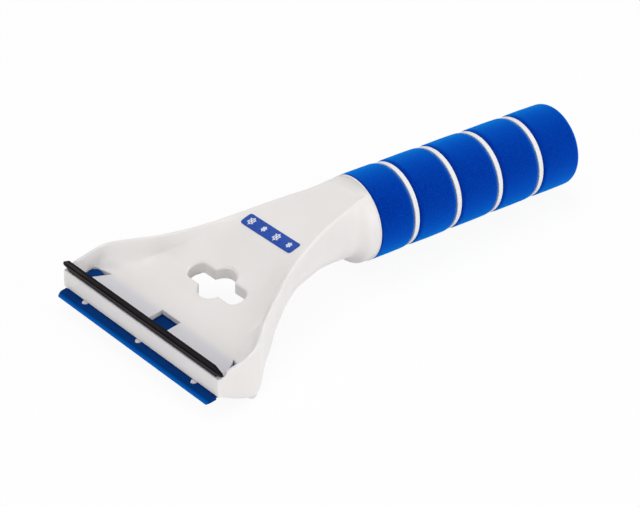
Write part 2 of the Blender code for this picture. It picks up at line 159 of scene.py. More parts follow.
def cut(piece, tool, operation="DIFFERENCE"):
    modify(piece, "BOOLEAN", operation=operation, solver="EXACT", object=tool)
    bpy.data.objects.remove(tool, do_unlink=True)


def finishPiece(piece, node, surface, angle):
    # lays the piece down with the tool, smooths it, hangs it under the root and hides the solid that it stands for
    piece.data.transform(toFloor)
    pick(piece)
    bpy.ops.object.shade_smooth_by_angle(angle=radians(angle))
    modify(piece, "WEIGHTED_NORMAL", mode="FACE_AREA", weight=50, keep_sharp=True)
    piece.data.materials.clear()
    piece.data.materials.append(surface)
    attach(piece, "root")
    if node:
        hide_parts(node)
    print("made", piece.name, "with", len(piece.data.polygons), "faces")


def clamp(value, low=0.0, high=1.0):
    return min(max(value, low), high)


def smoothCurve(points, place):
    # smooth curve through points (place, height) that never swings past them
    steps = [after[0] - before[0] for before, after in zip(points, points[1:])]
    grades = [(after[1] - before[1]) / step for before, after, step in zip(points, points[1:], steps)]
    tangents = [grades[0]]
    for before, after in zip(grades, grades[1:]):
        tangents.append(2 * before * after / (before + after) if before * after > 0 else 0)
    tangents.append(grades[-1])
    i = sum(place > point[0] for point in points[1:-1])
    t = (place - points[i][0]) / steps[i]
    rise = (points[i + 1][1] - points[i][1]) * t * t * (3 - 2 * t)
    bend = steps[i] * (t * (1 - t) ** 2 * tangents[i] - t * t * (1 - t) * tangents[i + 1])
    return points[i][1] + rise + bend


def between(start, end, t):
    return tuple(a + (b - a) * t for a, b in zip(start, end))


def bendThrough(start, corner, end, steps):
    # points of a soft corner from start to end
    return [between(between(start, corner, i / steps), between(corner, end, i / steps), i / steps)
            for i in range(steps + 1)]


def arcPoints(centreX, centreY, radius, start, end, steps):
    turn = (end - start) / steps
    return [(centreX + radius * cos(start + turn * i), centreY + radius * sin(start + turn * i))
            for i in range(steps + 1)]


def circle(x, y, radius, count):
    return [(x + radius * cos(2 * pi * i / count), y + radius * sin(2 * pi * i / count)) for i in range(count)]


def ringOver(outline, height):
    # an outline seen from above, with its height over y
    return [Vector((x, y, height(y))) for x, y in outline]


# body: the white moulding of head, neck, collar and tube
# its tables hold places and values; places go from the front wall, 0, to the collar's ramp, 1,
# but those of deckHeight start behind the tray, and those of dish go from the middle out to the crease

body = {
    "halfWidth": 56 * mm, "length": 104 * mm, "rimHeight": 38.6 * mm, "neckDepth": 14.5 * mm,
    "frontHeight": 7.8 * mm, "frontThickness": 4.5 * mm, "wall": 2.2 * mm, "rimThickness": 1.4 * mm,
    "rimRounding": 0.45 * mm, "rimLand": 0.1 * mm, "rimGrowth": 1.6, "rimGrowthFrom": 0.5, "rimGrowthOver": 0.2,
    "frontRounding": 0.4 * mm, "frontDip": 0.05 * mm, "wallTopRounding": 0.35 * mm, "wallFootLength": 0.6 * mm,
    "trayLength": 16.2 * mm, "floorThickness": 2.15 * mm, "traySlope": 0.2275, "deckGrade": 0.3565,
    "valleySoftness": 0.9 * mm, "overrun": 6 * mm, "gap": 0.3 * mm, "coveSize": 7.5 * mm,
    "headStep": 0.55 * mm, "headEnd": 36 * mm, "neckStep": 1.1 * mm, "cavityStep": 1.5 * mm,
    "bellyStart": 0.56, "bellyFull": 0.65, "cavityEnd": 0.985, "cavityCorner": 0.82,
    "turnMost": 0.4, "coveMost": 0.8,
    "wallSteps": (1.1, 1.7, 2.3, 2.9, 3.5), "wallFoot": ((0.08, 2), (0.14, 0.45), (0.2, 0.2), (0.34, 0.04)),  # mm
    "dish": ((0, 0), (0.45, 0), (0.62, 0.08), (0.76, 0.28), (0.89, 0.62), (1, 1)),
    "rimWidth": (
        (0, 1), (0.11, 0.998), (0.163, 0.988), (0.196, 0.963), (0.231, 0.913), (0.279, 0.828), (0.363, 0.706),
        (0.456, 0.59), (0.536, 0.494), (0.625, 0.419), (0.731, 0.341), (0.834, 0.28), (0.92, 0.236), (1, 0.2)),
    "bulge": (
        (0, 0), (0.196, 0.045), (0.231, 0.03), (0.279, -0.01), (0.363, -0.05), (0.456, -0.19), (0.536, -0.14),
        (0.625, -0.046), (0.731, 0.055), (0.77, 0.069), (0.865, 0.124), (0.92, 0.207), (1, 0.331)),
    "rimRise": (
        (0, 0.202), (0.022, 0.207), (0.043, 0.256), (0.109, 0.311), (0.196, 0.396), (0.279, 0.466), (0.363, 0.522),
        (0.456, 0.597), (0.536, 0.678), (0.625, 0.759), (0.731, 0.845), (0.834, 0.909), (0.92, 0.952), (1, 1.004)),
    "lowerEdge": (
        (0, 0), (0.144, -0.13), (0.183, -0.137), (0.221, -0.122), (0.308, -0.045), (0.365, 0.005), (0.471, 0.05),
        (0.567, 0.13), (0.615, 0.18), (0.688, 0.213), (0.769, 0.243), (0.865, 0.252), (1, 0.254)),
    "cornerHeight": (
        (0, 0.03), (0.03, 0.05), (0.183, 0.07), (0.308, 0.14), (0.365, 0.2), (0.471, 0.45), (0.567, 0.85),
        (0.615, 0.95), (0.688, 1.03), (0.769, 1), (0.865, 0.93), (1, 0.97)),
    "cornerWidth": (
        (0, 0.008), (0.03, 0.013), (0.183, 0.018), (0.308, 0.045), (0.365, 0.08), (0.471, 0.22), (0.567, 0.52),
        (0.615, 0.65), (0.688, 0.77), (0.769, 0.91), (0.865, 1), (1, 1)),
    "deckHeight": (
        (0, 0), (0.112, 0.107), (0.255, 0.259), (0.362, 0.391), (0.453, 0.544), (0.522, 0.664), (0.567, 0.72),
        (0.681, 0.811), (0.803, 0.889), (0.906, 0.94), (1, 1.004)),
    "creaseInset": (
        (0, 0.004), (0.042, 0.006), (0.05, 0.025), (0.14, 0.035), (0.2, 0.1), (0.258, 0.126), (0.279, 0.118),
        (0.308, 0.091), (0.346, 0.066), (0.423, 0.062), (0.462, 0.054), (0.538, 0.032), (0.615, 0.021),
        (0.8, 0.012), (1, 0.012)),
    "cove": ((0, 0.04), (0.042, 0.04), (0.052, 0.35), (0.14, 0.4), (0.2, 1), (0.26, 0.6), (0.33, 0.1), (1, 0.05)),
    "creaseRise": (
        (0, 0.02), (0.125, 0.04), (0.308, 0.05), (0.346, 0.08), (0.385, 0.29), (0.423, 0.47), (0.462, 0.56),
        (0.538, 0.62), (0.615, 0.75), (0.8, 0.7), (1, 0.7)),
}

grip = {
    "axisStart": 98 * mm, "axisHeight": 23.5 * mm, "axisSlope": 0.049,
    "collarRadius": 18.7 * mm, "collarFlare": 6.8 * mm, "collarLength": 11.1 * mm, "collarLand": 0.4 * mm,
    "collarStep": 0.45 * mm, "collarLast": 0.2 * mm, "rampStart": 104.2 * mm, "rampBend": 1.6,
    "rimAngle": radians(54), "rimAngleWidth": 0.075, "beadHeight": 0.3 * mm,
    "bead": ((0.75, 0), (0.68, 0.45), (0.55, 0.85), (0.38, 1), (0.2, 0.85), (0.06, 0.4), (0, -0.3)),  # mm, share
    "tubeRadius": 12.5 * mm, "tubeWall": 2.5 * mm, "tubeEnd": 117 * mm, "tubeFoot": 0.6 * mm, "boreSides": 72,
    "foamRadius": 19.6 * mm, "firstRing": 17.5 * mm, "ring": 19.95 * mm, "stripe": 2.3 * mm, "ringCount": 5,
}
gripLean = atan(grip["axisSlope"])
gripOrigin = Vector((0, grip["axisStart"], grip["axisHeight"]))
gripWay = Vector((0, cos(gripLean), sin(gripLean)))
rampEnd = grip["axisStart"] + grip["collarLength"] - grip["collarLand"]


def share(y):
    return clamp(y / body["length"])


def table(name, y):
    return smoothCurve(body[name], share(y))


def rimHalfWidth(y):
    return body["halfWidth"] * table("rimWidth", y)


def sideHalfWidth(y):
    return rimHalfWidth(y) + body["neckDepth"] * table("bulge", y)


def rimTop(y):
    return body["rimHeight"] * table("rimRise", y)


def lowerEdge(y):
    return body["rimHeight"] * table("lowerEdge", y)


def floorHeight(y):
    # tray, then deck, with a soft valley between them
    soft = body["valleySoftness"]
    past = y - body["trayLength"]
    if past < soft:
        turn = max(past + soft, 0) ** 2 / (4 * soft)
        return body["floorThickness"] + body["traySlope"] * y + (body["deckGrade"] - body["traySlope"]) * turn
    tray = body["floorThickness"] + body["traySlope"] * body["trayLength"]
    along = min(past / (body["length"] - body["trayLength"]), 1)
    return tray + (body["rimHeight"] - tray) * smoothCurve(body["deckHeight"], along)


def floorKeys(y, floor):
    rise = rimTop(y) - floor
    rim = rimHalfWidth(y) - body["rimThickness"]
    crease = rim - body["halfWidth"] * table("creaseInset", y)
    creaseRise = rise * table("creaseRise", y)
    return [(crease * place, floor + creaseRise * up) for place, up in body["dish"]] + [(rim, floor + rise)]


def deckHeight(x, y):
    keys = floorKeys(y, floorHeight(y))
    return smoothCurve(keys, min(abs(x), keys[-1][0]))


def lowerCorner(half, low, height, width):
    turns = [pi / 2 / cornerSteps * i for i in range(cornerSteps + 1)]
    return [(half - width + width * cos(turn), low + height * (1 - sin(turn))) for turn in turns]


def cornerSize(y, half, room):
    height = body["neckDepth"] * table("cornerHeight", y)
    return min(height, room), min(half * table("cornerWidth", y), half - body["gap"])


def sideAt(y, z):
    half = sideHalfWidth(y)
    low = lowerEdge(y)
    waist = low + cornerSize(y, half, rimTop(y) - low - body["wall"])[0]
    up = clamp((z - waist) / (rimTop(y) - waist))
    return sqrt(half ** 2 - (half ** 2 - rimHalfWidth(y) ** 2) * up ** 2)


dishSteps, coveSteps, flangeSteps, softSteps = 22, 7, 7, 4
sideSteps, cornerSteps, bottomSteps, cavitySteps = 12, 9, 5, 24
innerRimIndex = dishSteps + coveSteps + flangeSteps + softSteps
outerRimIndex = innerRimIndex + softSteps + 1


def halfSection(y, floor):
    # from the middle of the floor out to the rim, over it, down the side and in to the middle underneath
    keys = floorKeys(y, floor)
    crease, rim = keys[-2:]
    growth = clamp((share(y) - body["rimGrowthFrom"]) / body["rimGrowthOver"])
    rounding = body["rimRounding"] * (1 + body["rimGrowth"] * growth)
    inner = min(body["rimRounding"], body["rimThickness"] - rounding - body["rimLand"])
    flange = max(hypot(rim[0] - crease[0], rim[1] - crease[1]), close)
    turnIn = between(rim, crease, min(inner / flange, body["turnMost"]))
    cove = min(body["coveSize"] * table("cove", y), body["coveMost"] * flange)
    foot = crease[0] - cove
    climb = between(crease, rim, cove / flange)
    made = [(foot * i / dishSteps, smoothCurve(keys, foot * i / dishSteps)) for i in range(dishSteps + 1)]
    made += bendThrough(made[-1], crease, climb, coveSteps)[1:]
    made += [between(climb, turnIn, i / flangeSteps) for i in range(1, flangeSteps)]
    made += bendThrough(turnIn, rim, (rim[0] + inner, rim[1]), softSteps)
    top = rim[1]
    outer = (rimHalfWidth(y), top)
    lowTurn = (sideAt(y, top - rounding), top - rounding)
    made += bendThrough((outer[0] - rounding, top), outer, lowTurn, softSteps)
    half, low = sideHalfWidth(y), lowerEdge(y)
    height, width = cornerSize(y, half, top - low - body["wall"])
    for i in range(1, sideSteps):
        z = lowTurn[1] + (low + height - lowTurn[1]) * i / sideSteps
        made.append((sideAt(y, z), z))
    made += lowerCorner(half, low, height, width)
    return made + [(made[-1][0] * (1 - i / bottomSteps), low) for i in range(1, bottomSteps + 1)]


def mirrored(right):
    return right + [Vector((-point.x, point.y, point.z)) for point in reversed(right[1:-1])]


def bothHalves(half, y):
    return mirrored([Vector((x, y, z)) for x, z in half])


def section(y, floor):
    return bothHalves(halfSection(y, floor), y)


def gripPoint(along, radius, angle):
    # angle is measured from the right-hand side, up
    out = Vector((radius * cos(angle), -radius * sin(angle) * sin(gripLean), radius * sin(angle) * cos(gripLean)))
    return gripOrigin + gripWay * along + out


def circleAngles(half):
    # where each point of the half section ends on the collar
    outerAngle, innerAngle = grip["rimAngle"], grip["rimAngle"] + grip["rimAngleWidth"]
    onTop, rest = outerRimIndex - innerRimIndex, len(half) - outerRimIndex - 1
    made = [acos(cos(innerAngle) * point[0] / half[innerRimIndex][0]) for point in half[:innerRimIndex]]
    made += [innerAngle + (outerAngle - innerAngle) * i / onTop for i in range(onTop)]
    return made + [outerAngle + (-pi / 2 - outerAngle) * i / rest for i in range(rest + 1)]


def neckRing(y, floor):
    # turns the neck's section into the collar's circle
    half = halfSection(y, floor)
    angles = circleAngles(half)
    sideShare = (1 - cos(pi * clamp((y - grip["axisStart"]) / grip["collarFlare"]))) / 2
    deckShare = clamp((y - grip["rampStart"]) / (rampEnd - grip["rampStart"])) ** grip["rampBend"]
    made = []
    for i, (x, z) in enumerate(half):
        onTop = clamp((i - innerRimIndex) / (outerRimIndex - innerRimIndex))
        turned = deckShare + (max(sideShare, deckShare) - deckShare) * onTop
        target = gripPoint((y - grip["axisStart"]) / cos(gripLean), grip["collarRadius"], angles[i])
        made.append(Vector((x, y, z)).lerp(target, turned))
    return mirrored(made)


def roundRing(along, radius):
    half = halfSection(body["length"], floorHeight(body["length"]))
    return mirrored([gripPoint(along, radius, angle) for angle in circleAngles(half)])


def frontRings():
    # the front wall with soft edges, from its face to its back
    made = []
    soft, topSoft = body["frontRounding"], body["wallTopRounding"]
    top, back = body["frontHeight"], body["frontThickness"]
    for turn in (0, 22, 45, 67, 90):
        y, inset = soft * (1 - cos(radians(turn))), soft * (1 - sin(radians(turn)))
        half = halfSection(y, top - body["frontDip"])
        middle = (half[0][1] + half[-1][1]) / 2
        shrinkX = 1 - inset / half[outerRimIndex][0]
        shrinkZ = 1 - inset / (half[0][1] - middle)
        made.append(bothHalves([(x * shrinkX, middle + (z - middle) * shrinkZ) for x, z in half], y))
    made += [section(y * mm, top) for y in body["wallSteps"]]
    for turn in (0, 30, 60, 90):
        made.append(section(back - topSoft * (1 - sin(radians(turn))), top - topSoft * (1 - cos(radians(turn)))))
    foot = floorHeight(back + body["wallFootLength"])
    return made + [section(back + past * mm, foot + rise * mm) for past, rise in body["wallFoot"]]


def bodyShell():
    rings = frontRings()
    y = body["frontThickness"] + body["wallFootLength"]
    while y < grip["axisStart"]:
        rings.append(section(y, floorHeight(y)))
        y += body["headStep"] if y < body["headEnd"] else body["neckStep"]
    y = grip["axisStart"]
    while y < rampEnd - grip["collarLast"]:
        rings.append(neckRing(y, floorHeight(min(y, grip["rampStart"]))))
        y += grip["collarStep"]
    length, tube = grip["collarLength"], grip["tubeRadius"]
    for back, out in grip["bead"]:
        rings.append(roundRing(length - back * mm, grip["collarRadius"] + grip["beadHeight"] * out))
    for along, radius in ((length, tube + grip["tubeFoot"]), (length, tube), (grip["tubeEnd"], tube)):
        rings.append(roundRing(along, radius))
    return loftPiece("bodyShell", rings)


def cavityHalf(y):
    half = sideHalfWidth(y) - body["wall"]
    edge = sideAt(y, deckHeight(half - body["wall"], y) - body["floorThickness"]) - body["wall"]
    top = [(edge * i / cavitySteps, deckHeight(edge * i / cavitySteps, y) - body["floorThickness"])
           for i in range(cavitySteps + 1)]
    edgeHeight = top[-1][1]
    closed = clamp((share(y) - body["bellyStart"]) / (body["bellyFull"] - body["bellyStart"]))
    low = lowerEdge(y) + body["wall"] * closed - body["overrun"] * (1 - closed)
    height, width = cornerSize(y, half, (edgeHeight - low) * body["cavityCorner"])
    height = max(height - body["wall"] * closed, body["wall"] / 2)
    levels = [edgeHeight + (low + height - edgeHeight) * i / 4 for i in (1, 2, 3)]
    side = [(sideAt(y, z) - body["wall"], z) for z in levels]
    return top + side + lowerCorner(half, low, height, width) + [(0, low)]


def cavityTool():
    first = bothHalves(cavityHalf(0), 0)
    ahead = body["overrun"]
    rings = [[Vector((point.x, -ahead, point.z - body["traySlope"] * ahead)) for point in first], first]
    y = body["cavityStep"]
    end = body["cavityEnd"] * body["length"]
    while y < end:
        rings.append(bothHalves(cavityHalf(y), y))
        y += body["cavityStep"]
    rings.append(bothHalves(cavityHalf(end), end))
    return loftPiece("cavityTool", rings)


def boreTool():
    radius = grip["tubeRadius"] - grip["tubeWall"]
    sides = grip["boreSides"]
    return loftPiece("boreTool", [[gripPoint(along, radius, 2 * pi * i / sides) for i in range(sides)]
                                  for along in (-body["overrun"], grip["tubeEnd"] + body["overrun"])])


def prism(name, outline, heights):
    # upright solid on an outline, with a height over y for each ring
    return loftPiece(name, [ringOver(outline, height) for height in heights])


slot = {"place": 38.6 * mm, "halfLength": 17.9 * mm, "halfWidth": 4.2 * mm, "lobe": 8.1 * mm, "depth": 4.8 * mm,
        "wall": 1.8 * mm, "lip": 0.7 * mm, "lipEdge": 0.02 * mm, "lipFlare": 1.05, "arcSteps": 20}


def slotOutline(margin):
    radius, lobe = slot["halfWidth"] + margin, slot["lobe"] + margin
    reach = slot["halfLength"] - slot["halfWidth"]
    meet = asin(radius / lobe)
    outline = []
    for centre, size, start, end in ((reach, radius, -pi / 2, pi / 2), (0, lobe, meet, pi - meet),
                                     (-reach, radius, pi / 2, 3 * pi / 2), (0, lobe, pi + meet, 2 * pi - meet)):
        outline += arcPoints(centre, slot["place"], size, start, end, slot["arcSteps"])
    return outline


def slotPlane(y):
    # the flat plane that the deck keeps closest to around the slot
    near, far = slot["place"] - slot["lobe"], slot["place"] + slot["lobe"]
    slope = (floorHeight(far) - floorHeight(near)) / (far - near)
    return floorHeight(slot["place"]) + slope * (y - slot["place"])


def slotTool():
    # wider at the deck, so that the slot's edge comes out round
    lip = slot["lip"]
    levels = [(0, -slot["depth"] - body["overrun"]), (0, -lip)]
    levels += [(lip * (1 - cos(radians(turn))), -lip + lip * sin(radians(turn))) for turn in (18, 36, 54, 72)]
    levels += [(lip, slot["lipEdge"]), (lip * slot["lipFlare"], body["overrun"])]
    return loftPiece("slotTool", [ringOver(slotOutline(margin), lambda y: slotPlane(y) + rise)
                                  for margin, rise in levels])


def slotBoss():
    heights = [lambda y: slotPlane(y) - slot["depth"], lambda y: slotPlane(y) - mm]
    return prism("slotBoss", slotOutline(slot["wall"]), heights)


windows = {"middleHalfWidth": 6.6 * mm, "middleFront": 5 * mm, "below": 2 * mm, "above": 9 * mm,
           "outer": ((52.4 * mm, 4.8 * mm), (52.9 * mm, 8.5 * mm), (53 * mm, 11 * mm)),
           "outerCorner": (53 * mm, 14.2 * mm), "rearTurn": (50 * mm, 14.8 * mm), "rear": (43.6 * mm, 16.1 * mm),
           "turnSteps": 6}


def windowTools():
    side, front, back = windows["middleHalfWidth"], windows["middleFront"], body["trayLength"]
    middle = [(-side, front), (side, front), (side, back), (-side, back)]
    corner = list(windows["outer"])
    corner += bendThrough(corner[-1], windows["outerCorner"], windows["rearTurn"], windows["turnSteps"])[1:]
    corner += [windows["rear"]]
    heights = [lambda y: floorHeight(y) - body["floorThickness"] - windows["below"],
               lambda y: floorHeight(y) + windows["above"]]
    return [prism("middleTool", middle, heights), prism("rightTool", corner, heights),
            prism("leftTool", [(-x, y) for x, y in corner], heights)]


blade = {"halfWidth": 54.4 * mm, "reach": 4.4 * mm, "side": 0.3 * mm, "tail": 22 * mm, "shoulder": 11 * mm,
         "thickness": 1.6 * mm, "edge": 0.45 * mm, "bevel": 1.5 * mm, "corner": 3 * mm, "cornerSteps": 10,
         "soft": 0.12 * mm, "lugInner": 46.4 * mm, "lugOuter": 52.45 * mm, "lugFront": 5.4 * mm,
         "lugBack": 14.5 * mm, "lugRise": 3 * mm, "lugLow": 1.2 * mm, "lugTurn": 2.6 * mm, "lugSteps": 8,
         "pegSpacing": 39.5 * mm, "pegPlace": 0.3 * mm, "pegRadius": 1.65 * mm, "pegRise": 0.05 * mm,
         "pegHeadRadius": 2.7 * mm, "pegHeadThickness": 0.9 * mm, "pegEdge": 0.25 * mm, "pegSides": 40,
         "holeSides": 48, "stopDrop": 6 * mm, "stopSteps": 40, "ribDrop": 3.2 * mm, "ribThickness": 1.8 * mm,
         "ribSteps": 16}
pegPlaces = [(number * blade["pegSpacing"], blade["pegPlace"]) for number in (-1, 0, 1)]
softTurn = 0.3  # share of a small rounded edge at which its middle step lies


def bladeTop(y):
    return body["traySlope"] * y - body["gap"]


def pegPieces():
    under = -blade["thickness"] - body["gap"]
    low = under - blade["pegHeadThickness"]
    edge, stem, head, top = (blade[key] for key in ("pegEdge", "pegRadius", "pegHeadRadius", "pegRise"))
    stemLevels = ((stem, (under + low) / 2), (stem, top - edge), (stem - edge * softTurn, top - edge * softTurn),
                  (stem - edge, top))
    headLevels = ((head - edge, low), (head, low + edge), (head, under))
    return [loftPiece("peg", [ringOver(circle(*place, radius, blade["pegSides"]), lambda y: bladeTop(y) + rise)
                              for radius, rise in levels])
            for place in pegPlaces for levels in (stemLevels, headLevels)]


def stopAndRibs():
    # the bar behind the blade's tail, and two ribs from it to the neck
    front = blade["tail"] + body["gap"]
    back = front + blade["ribThickness"]
    side = rimHalfWidth(back) - body["wall"] / 2
    rings = []
    for i in range(blade["stopSteps"] + 1):
        x = -side + 2 * side * i / blade["stopSteps"]
        lows = [floorHeight(y) - body["floorThickness"] - blade["stopDrop"] for y in (front, back)]
        highs = [deckHeight(x, y) - mm for y in (front, back)]
        rings.append([Vector((x, front, lows[0])), Vector((x, back, lows[1])), Vector((x, back, highs[1])),
                      Vector((x, front, highs[0]))])
    made = [loftPiece("bladeStop", rings)]
    start, end = front + body["gap"], body["bellyFull"] * body["length"]
    for middle in (-slot["halfLength"], slot["halfLength"]):
        near, far = middle - blade["ribThickness"] / 2, middle + blade["ribThickness"] / 2
        rings = []
        for i in range(blade["ribSteps"] + 1):
            y = start + (end - start) * i / blade["ribSteps"]
            low = floorHeight(y) - body["floorThickness"] - blade["ribDrop"]
            high = deckHeight(middle, y) - mm
            rings.append([Vector((x, y, z)) for x, z in ((near, low), (far, low), (far, high), (near, high))])
        made.append(loftPiece("rib", rings))
    return made


foot = {"place": 17.4 * mm, "radius": 2.3 * mm, "width": 3.4 * mm, "drop": 1.48 * mm, "proud": 0.5 * mm,
        "rounding": 0.7 * mm, "sides": 32}


def footPieces():
    radius, soft = foot["radius"], foot["rounding"]
    outer = sideHalfWidth(foot["place"] + radius) + foot["proud"]
    z = lowerEdge(foot["place"]) - foot["drop"] + radius
    levels = ((outer - foot["width"], radius), (outer - soft, radius),
              (outer - soft * softTurn, radius - soft * softTurn), (outer, radius - soft))
    rings = [(x, circle(foot["place"], z, size, foot["sides"])) for x, size in levels]
    return [loftPiece("foot", [[Vector((side * x, *point)) for point in ring] for x, ring in rings])
            for side in (-1, 1)]


lip = {"grooveFront": 0.9 * mm, "grooveDepth": 3.4 * mm, "thickness": 1.7 * mm, "lean": 0.32, "halfSeat": 52.9 * mm,
       "seatRise": 0.5 * mm, "overhang": 4 * mm, "middleRise": 2.4 * mm, "height": 5.0 * mm, "step": 0.4 * mm,
       "rounding": 0.15 * mm, "tipRise": 1.9 * mm, "tipHeight": 0.34, "tipThickness": 0.75}


def lipFront(z):
    return lip["grooveFront"] - lip["lean"] * (z - body["frontHeight"])


def grooveTool():
    low, high = body["frontHeight"] - lip["grooveDepth"], body["frontHeight"] + body["overrun"]
    half, room = lip["halfSeat"] + body["gap"], body["gap"] / 2
    front, back = -room, lip["thickness"] + room
    corners = [(lipFront(z) + past, z) for past, z in ((front, low), (front, high), (back, high), (back, low))]
    return loftPiece("grooveTool", [[Vector((x, y, z)) for y, z in corners] for x in (-half, half)])


def makeBody(surface):
    piece = bodyShell()
    cut(piece, cavityTool())
    cut(piece, boreTool())
    cut(piece, joined("bossAndFeet", [slotBoss()] + footPieces()), "UNION")
    for part in stopAndRibs() + pegPieces():
        cut(piece, part, "UNION")
    cut(piece, joined("openings", [slotTool(), grooveTool()] + windowTools()))
    recalculate(piece, close)
    piece.name = "mouldedBody"
    finishPiece(piece, "scraper_body", surface, 34)


# blade: blue plate with a bevelled edge, and a low wedge on it in each corner window

def uprightAt(x, y):
    return edgeTest(lambda co: abs(abs(co.x) - x) < close and abs(co.y - y) < close)


def bladeLug(side):
    inner, outer = sorted((side * blade["lugInner"], side * blade["lugOuter"]))
    piece = block("bladeLug", (inner, blade["lugFront"], -blade["thickness"] / 2),
                  (outer, blade["lugBack"], blade["lugRise"]))
    for vertex in piece.data.vertices:
        if vertex.co.z > 0 and abs(vertex.co.x) < blade["lugInner"] + mm:
            vertex.co.z = blade["lugLow"]
    selectInEdit("EDGE", uprightAt(blade["lugOuter"], blade["lugBack"]))
    bpy.ops.mesh.bevel(offset=blade["lugTurn"], segments=blade["lugSteps"])
    leaveEdit()
    return piece


def makeBlade(surface):
    # worked flat, then laid on the slope under the tray
    neck = body["halfWidth"] - body["wall"] - body["gap"]
    tail = rimHalfWidth(blade["tail"]) - body["wall"] - 2 * body["gap"]
    front, wide, deep = -blade["reach"], blade["halfWidth"], blade["thickness"]
    piece = block("blueBlade", (-neck, front, -deep), (neck, blade["side"], 0))
    for side in (-1, 1):
        selectInEdit("FACE", lambda face: side * face.normal.x > square)
        extrudeBy(side * (wide - neck), 0, 0)
    selectInEdit("FACE", lambda face: face.normal.y > square and abs(face.calc_center_median().x) < mm)
    extrudeBy(0, blade["shoulder"] - blade["side"], 0)
    extrudeBy(0, blade["tail"] - blade["shoulder"], 0)
    bpy.ops.transform.resize(value=(tail / neck, 1, 1), center_override=(0, 0, 0))
    selectInEdit("EDGE", uprightAt(wide, front))
    bpy.ops.mesh.bevel(offset=blade["corner"], segments=blade["cornerSteps"])
    splitAll((0, front + blade["bevel"], 0), (0, 1, 0))
    leaveEdit()
    for vertex in piece.data.vertices:
        ahead = front + blade["bevel"] - vertex.co.y
        if ahead > 0 and vertex.co.z > -deep / 2:
            vertex.co.z = -ahead / blade["bevel"] * (deep - blade["edge"])
    recalculate(piece)
    roundEdges(piece, blade["soft"], 2, 25)
    for side in (-1, 1):
        cut(piece, bladeLug(side), "UNION")
    for place in pegPlaces:
        bpy.ops.mesh.primitive_cylinder_add(vertices=blade["holeSides"], radius=blade["pegRadius"] + body["gap"],
                                            depth=4 * deep, location=(*place, 0))
        cut(piece, justAdded("holeTool"))
    for vertex in piece.data.vertices:
        vertex.co.z += bladeTop(vertex.co.y)
    recalculate(piece)
    finishPiece(piece, "scraper_blade", surface, 25)


# rubber lip along the top of the front wall

def makeLip(surface):
    low = body["frontHeight"] - lip["grooveDepth"] + body["gap"]
    rises = (lip[key] for key in ("seatRise", "middleRise", "height", "tipRise"))
    seat, middle, top, tip = (body["frontHeight"] + rise for rise in rises)
    half, soft = lip["halfSeat"], lip["rounding"]
    piece = block("rubberLip", (-half, 0, low), (half, lip["thickness"], top))
    bpy.ops.object.mode_set(mode="EDIT")
    for height in (seat, middle, middle + soft):
        splitAll((0, 0, height), (0, 0, 1))
    for side in (-1, 1):
        # the ends above the seat taper to a blunt tip
        selectInEdit("FACE", lambda face: side * face.normal.x > square and face.calc_center_median().z > seat)
        extrudeBy(side * lip["overhang"], 0, 0)
        bpy.ops.transform.resize(value=(1, lip["tipThickness"], lip["tipHeight"]),
                                 center_override=(0, lip["thickness"] / 2, tip))
    leaveEdit()
    for vertex in piece.data.vertices:
        if vertex.co.y < lip["thickness"] / 3 and vertex.co.z > middle + soft / 2:
            vertex.co.y += lip["step"]
        vertex.co.y += lipFront(vertex.co.z)
    recalculate(piece)
    roundEdges(piece, soft, 3, 40)
    finishPiece(piece, "squeegee_rubber", surface, 28)


# grip: foam rings with narrow stripes between them, and the plug at the far end

foam = {"slimNear": 0.45 * mm, "slimFar": 0.95 * mm, "rounding": 1.9 * mm, "seatRounding": 0.6 * mm,
        "endLonger": 0.4 * mm, "crown": 0.12 * mm, "skin": 4 * mm, "grain": 0.035 * mm, "grainScale": 900,
        "wave": 0.06 * mm, "waveScale": 120, "stripeInset": 0.4 * mm, "stripeRounding": 0.35 * mm,
        "sides": 180, "roundSteps": 7, "cuts": 22, "longEdge": 0.2, "fill": 0.9}


def gripMatrix(along):
    return Matrix.Translation(gripOrigin + gripWay * along) @ Matrix.Rotation(gripLean - pi / 2, 4, "X")


def rimAt(level, radius):
    return edgeTest(lambda co: abs(co.z - level) < close and co.xy.length > radius - close)


def sleeve(name, length, radius, near, far, cuts):
    # a cylinder with its caps inset and bridged through, then rounded; its top is the end nearest the head
    bpy.ops.mesh.primitive_cylinder_add(vertices=foam["sides"], radius=radius, depth=length,
                                        end_fill_type="NGON", location=(0, 0, length / 2))
    piece = justAdded(name)
    selectInEdit("FACE", isCap)
    bpy.ops.mesh.inset(thickness=radius - grip["tubeRadius"] - body["gap"], depth=0)
    bpy.ops.mesh.delete(type="ONLY_FACE")
    selectInEdit("EDGE", lambda edge: edge.is_boundary)
    bpy.ops.mesh.bridge_edge_loops()
    for level, rounding in ((0, far), (length, near)):
        selectInEdit("EDGE", rimAt(level, radius))
        bpy.ops.mesh.bevel(offset=rounding, segments=foam["roundSteps"])
    if cuts:
        onSide = edgeTest(lambda co: co.xy.length > radius - close)
        least = foam["longEdge"] * length
        selectInEdit("EDGE", lambda edge: onSide(edge) and abs(edge.verts[0].co.z - edge.verts[1].co.z) > least)
        bpy.ops.mesh.subdivide(number_cuts=cuts)
    leaveEdit()
    return piece


def softenFoam(piece, start, length):
    # foam is never quite true: it crowns a little and its skin is finely uneven
    inside = grip["foamRadius"] - foam["skin"]
    for vertex in piece.data.vertices:
        out = vertex.co.xy.length
        if out < inside:
            continue
        spread = clamp((out - inside) / foam["skin"])
        crown = -foam["crown"] * (2 * vertex.co.z / length - 1) ** 2
        along = (start + length - vertex.co.z) / grip["tubeEnd"]
        slim = foam["slimNear"] + (foam["slimFar"] - foam["slimNear"]) * along
        place = Vector((*vertex.co.xy, vertex.co.z + start))
        uneven = foam["wave"] * (noise.noise(place * foam["waveScale"]) - 0.5)
        uneven += foam["grain"] * noise.noise(place * foam["grainScale"])
        vertex.co.xy *= 1 + spread * (crown + uneven - slim) / out


